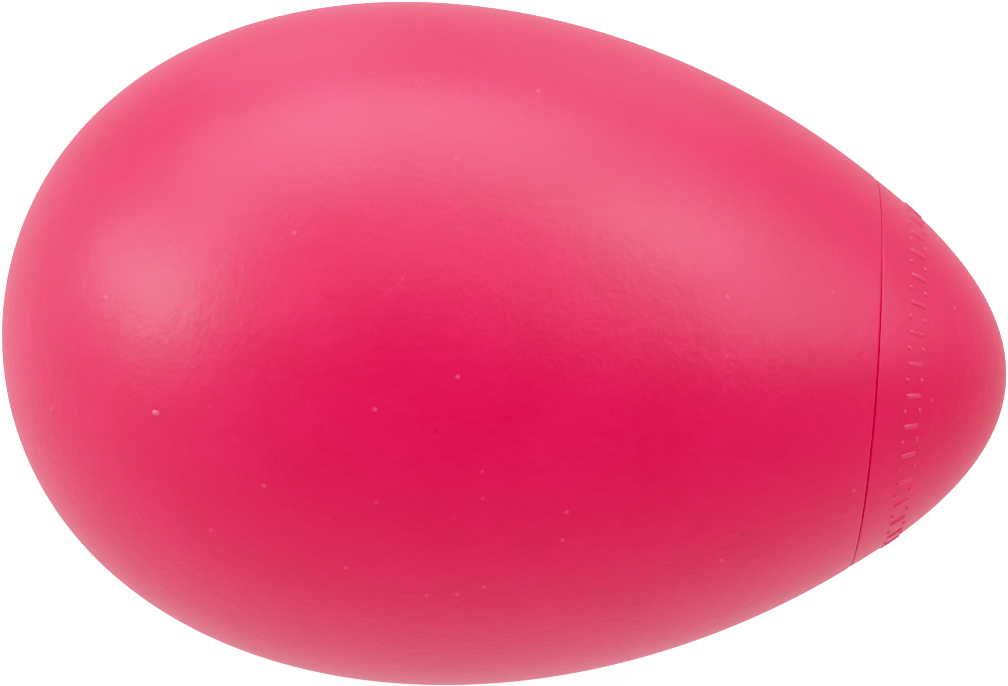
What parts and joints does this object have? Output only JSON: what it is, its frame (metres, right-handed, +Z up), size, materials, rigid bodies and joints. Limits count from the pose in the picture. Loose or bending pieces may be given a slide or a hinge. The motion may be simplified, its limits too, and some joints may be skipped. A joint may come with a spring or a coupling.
{
  "type": "egg shaker",
  "caption": "Palm-sized hollow plastic egg with a snap-in cap at its narrow end and loose steel pellets inside that rattle when it is shaken.",
  "frame": {"origin": "the point of the table below the middle of the egg lying on its side", "axes": "+X to the narrow end, which dips 3.84 degrees below level, +Z up, +Y to the left of the narrow end"},
  "size_m": [0.0598, 0.0404, 0.0405],
  "materials": {
    "pink_plastic": "satin, fine spark-eroded texture",
    "pellet_steel": "tumbled, bright"
  },
  "bodies": {
    "egg": {"egg_shell": "pink_plastic", "end_cap": "pink_plastic"},
    "pellet_01": {"pellet_01": "pellet_steel"},
    "pellet_02": {"pellet_02": "pellet_steel"},
    "pellet_03": {"pellet_03": "pellet_steel"},
    "pellet_04": {"pellet_04": "pellet_steel"},
    "pellet_05": {"pellet_05": "pellet_steel"},
    "pellet_06": {"pellet_06": "pellet_steel"},
    "pellet_07": {"pellet_07": "pellet_steel"},
    "pellet_08": {"pellet_08": "pellet_steel"},
    "pellet_09": {"pellet_09": "pellet_steel"},
    "pellet_10": {"pellet_10": "pellet_steel"},
    "pellet_11": {"pellet_11": "pellet_steel"},
    "pellet_12": {"pellet_12": "pellet_steel"},
    "pellet_13": {"pellet_13": "pellet_steel"},
    "pellet_14": {"pellet_14": "pellet_steel"},
    "pellet_15": {"pellet_15": "pellet_steel"},
    "pellet_16": {"pellet_16": "pellet_steel"},
    "pellet_17": {"pellet_17": "pellet_steel"},
    "pellet_18": {"pellet_18": "pellet_steel"},
    "pellet_19": {"pellet_19": "pellet_steel"},
    "pellet_20": {"pellet_20": "pellet_steel"},
    "pellet_21": {"pellet_21": "pellet_steel"},
    "pellet_22": {"pellet_22": "pellet_steel"},
    "pellet_23": {"pellet_23": "pellet_steel"},
    "pellet_24": {"pellet_24": "pellet_steel"},
    "pellet_25": {"pellet_25": "pellet_steel"},
    "pellet_26": {"pellet_26": "pellet_steel"},
    "pellet_27": {"pellet_27": "pellet_steel"},
    "pellet_28": {"pellet_28": "pellet_steel"},
    "pellet_29": {"pellet_29": "pellet_steel"},
    "pellet_30": {"pellet_30": "pellet_steel"},
    "pellet_31": {"pellet_31": "pellet_steel"},
    "pellet_32": {"pellet_32": "pellet_steel"},
    "pellet_33": {"pellet_33": "pellet_steel"},
    "pellet_34": {"pellet_34": "pellet_steel"},
    "pellet_35": {"pellet_35": "pellet_steel"},
    "pellet_36": {"pellet_36": "pellet_steel"},
    "pellet_37": {"pellet_37": "pellet_steel"},
    "pellet_38": {"pellet_38": "pellet_steel"},
    "pellet_39": {"pellet_39": "pellet_steel"},
    "pellet_40": {"pellet_40": "pellet_steel"},
    "pellet_41": {"pellet_41": "pellet_steel"},
    "pellet_42": {"pellet_42": "pellet_steel"},
    "pellet_43": {"pellet_43": "pellet_steel"},
    "pellet_44": {"pellet_44": "pellet_steel"},
    "pellet_45": {"pellet_45": "pellet_steel"},
    "pellet_46": {"pellet_46": "pellet_steel"},
    "pellet_47": {"pellet_47": "pellet_steel"},
    "pellet_48": {"pellet_48": "pellet_steel"}
  },
  "joints": [
    {"name": "pellet_01_slide", "type": "slide", "parent": "egg", "child": "pellet_01", "axis": [0.067, 0, 0.9978], "range_m": [0, 0.03243]},
    {"name": "pellet_02_slide", "type": "slide", "parent": "egg", "child": "pellet_02", "axis": [0.067, 0, 0.9978], "range_m": [0, 0.03177]},
    {"name": "pellet_03_slide", "type": "slide", "parent": "egg", "child": "pellet_03", "axis": [0.067, 0, 0.9978], "range_m": [0, 0.03135]},
    {"name": "pellet_04_slide", "type": "slide", "parent": "egg", "child": "pellet_04", "axis": [0.067, 0, 0.9978], "range_m": [0, 0.03135]},
    {"name": "pellet_05_slide", "type": "slide", "parent": "egg", "child": "pellet_05", "axis": [0.067, 0, 0.9978], "range_m": [0, 0.032]},
    {"name": "pellet_06_slide", "type": "slide", "parent": "egg", "child": "pellet_06", "axis": [0.067, 0, 0.9978], "range_m": [0, 0.03011]},
    {"name": "pellet_07_slide", "type": "slide", "parent": "egg", "child": "pellet_07", "axis": [0.067, 0, 0.9978], "range_m": [0, 0.03149]},
    {"name": "pellet_08_slide", "type": "slide", "parent": "egg", "child": "pellet_08", "axis": [0.067, 0, 0.9978], "range_m": [0, 0.03149]},
    {"name": "pellet_09_slide", "type": "slide", "parent": "egg", "child": "pellet_09", "axis": [0.067, 0, 0.9978], "range_m": [0, 0.03015]},
    {"name": "pellet_10_slide", "type": "slide", "parent": "egg", "child": "pellet_10", "axis": [0.067, 0, 0.9978], "range_m": [0, 0.03015]},
    {"name": "pellet_11_slide", "type": "slide", "parent": "egg", "child": "pellet_11", "axis": [0.067, 0, 0.9978], "range_m": [0, 0.03043]},
    {"name": "pellet_12_slide", "type": "slide", "parent": "egg", "child": "pellet_12", "axis": [0.067, 0, 0.9978], "range_m": [0, 0.03043]},
    {"name": "pellet_13_slide", "type": "slide", "parent": "egg", "child": "pellet_13", "axis": [0.067, 0, 0.9978], "range_m": [0, 0.02793]},
    {"name": "pellet_14_slide", "type": "slide", "parent": "egg", "child": "pellet_14", "axis": [0.067, 0, 0.9978], "range_m": [0, 0.02793]},
    {"name": "pellet_15_slide", "type": "slide", "parent": "egg", "child": "pellet_15", "axis": [0.067, 0, 0.9978], "range_m": [0, 0.02746]},
    {"name": "pellet_16_slide", "type": "slide", "parent": "egg", "child": "pellet_16", "axis": [0.067, 0, 0.9978], "range_m": [0, 0.0303]},
    {"name": "pellet_17_slide", "type": "slide", "parent": "egg", "child": "pellet_17", "axis": [0.067, 0, 0.9978], "range_m": [0, 0.0288]},
    {"name": "pellet_18_slide", "type": "slide", "parent": "egg", "child": "pellet_18", "axis": [0.067, 0, 0.9978], "range_m": [0, 0.0288]},
    {"name": "pellet_19_slide", "type": "slide", "parent": "egg", "child": "pellet_19", "axis": [0.067, 0, 0.9978], "range_m": [0, 0.02806]},
    {"name": "pellet_20_slide", "type": "slide", "parent": "egg", "child": "pellet_20", "axis": [0.067, 0, 0.9978], "range_m": [0, 0.02806]},
    {"name": "pellet_21_slide", "type": "slide", "parent": "egg", "child": "pellet_21", "axis": [0.067, 0, 0.9978], "range_m": [0, 0.02832]},
    {"name": "pellet_22_slide", "type": "slide", "parent": "egg", "child": "pellet_22", "axis": [0.067, 0, 0.9978], "range_m": [0, 0.02832]},
    {"name": "pellet_23_slide", "type": "slide", "parent": "egg", "child": "pellet_23", "axis": [0.067, 0, 0.9978], "range_m": [0, 0.02616]},
    {"name": "pellet_24_slide", "type": "slide", "parent": "egg", "child": "pellet_24", "axis": [0.067, 0, 0.9978], "range_m": [0, 0.02616]},
    {"name": "pellet_25_slide", "type": "slide", "parent": "egg", "child": "pellet_25", "axis": [0.067, 0, 0.9978], "range_m": [0, 0.02466]},
    {"name": "pellet_26_slide", "type": "slide", "parent": "egg", "child": "pellet_26", "axis": [0.067, 0, 0.9978], "range_m": [0, 0.02466]},
    {"name": "pellet_27_slide", "type": "slide", "parent": "egg", "child": "pellet_27", "axis": [0.067, 0, 0.9978], "range_m": [0, 0.02788]},
    {"name": "pellet_28_slide", "type": "slide", "parent": "egg", "child": "pellet_28", "axis": [0.067, 0, 0.9978], "range_m": [0, 0.02788]},
    {"name": "pellet_29_slide", "type": "slide", "parent": "egg", "child": "pellet_29", "axis": [0.067, 0, 0.9978], "range_m": [0, 0.0238]},
    {"name": "pellet_30_slide", "type": "slide", "parent": "egg", "child": "pellet_30", "axis": [0.067, 0, 0.9978], "range_m": [0, 0.02639]},
    {"name": "pellet_31_slide", "type": "slide", "parent": "egg", "child": "pellet_31", "axis": [0.067, 0, 0.9978], "range_m": [0, 0.02639]},
    {"name": "pellet_32_slide", "type": "slide", "parent": "egg", "child": "pellet_32", "axis": [0.067, 0, 0.9978], "range_m": [0, 0.02691]},
    {"name": "pellet_33_slide", "type": "slide", "parent": "egg", "child": "pellet_33", "axis": [0.067, 0, 0.9978], "range_m": [0, 0.02307]},
    {"name": "pellet_34_slide", "type": "slide", "parent": "egg", "child": "pellet_34", "axis": [0.067, 0, 0.9978], "range_m": [0, 0.02307]},
    {"name": "pellet_35_slide", "type": "slide", "parent": "egg", "child": "pellet_35", "axis": [0.067, 0, 0.9978], "range_m": [0, 0.02322]},
    {"name": "pellet_36_slide", "type": "slide", "parent": "egg", "child": "pellet_36", "axis": [0.067, 0, 0.9978], "range_m": [0, 0.02322]},
    {"name": "pellet_37_slide", "type": "slide", "parent": "egg", "child": "pellet_37", "axis": [0.067, 0, 0.9978], "range_m": [0, 0.02341]},
    {"name": "pellet_38_slide", "type": "slide", "parent": "egg", "child": "pellet_38", "axis": [0.067, 0, 0.9978], "range_m": [0, 0.02341]},
    {"name": "pellet_39_slide", "type": "slide", "parent": "egg", "child": "pellet_39", "axis": [0.067, 0, 0.9978], "range_m": [0, 0.02158]},
    {"name": "pellet_40_slide", "type": "slide", "parent": "egg", "child": "pellet_40", "axis": [0.067, 0, 0.9978], "range_m": [0, 0.02158]},
    {"name": "pellet_41_slide", "type": "slide", "parent": "egg", "child": "pellet_41", "axis": [0.067, 0, 0.9978], "range_m": [0, 0.02313]},
    {"name": "pellet_42_slide", "type": "slide", "parent": "egg", "child": "pellet_42", "axis": [0.067, 0, 0.9978], "range_m": [0, 0.02313]},
    {"name": "pellet_43_slide", "type": "slide", "parent": "egg", "child": "pellet_43", "axis": [0.067, 0, 0.9978], "range_m": [0, 0.02196]},
    {"name": "pellet_44_slide", "type": "slide", "parent": "egg", "child": "pellet_44", "axis": [0.067, 0, 0.9978], "range_m": [0, 0.02196]},
    {"name": "pellet_45_slide", "type": "slide", "parent": "egg", "child": "pellet_45", "axis": [0.067, 0, 0.9978], "range_m": [0, 0.01857]},
    {"name": "pellet_46_slide", "type": "slide", "parent": "egg", "child": "pellet_46", "axis": [0.067, 0, 0.9978], "range_m": [0, 0.01857]},
    {"name": "pellet_47_slide", "type": "slide", "parent": "egg", "child": "pellet_47", "axis": [0.067, 0, 0.9978], "range_m": [0, 0.02242]},
    {"name": "pellet_48_slide", "type": "slide", "parent": "egg", "child": "pellet_48", "axis": [0.067, 0, 0.9978], "range_m": [0, 0.02242]}
  ]
}
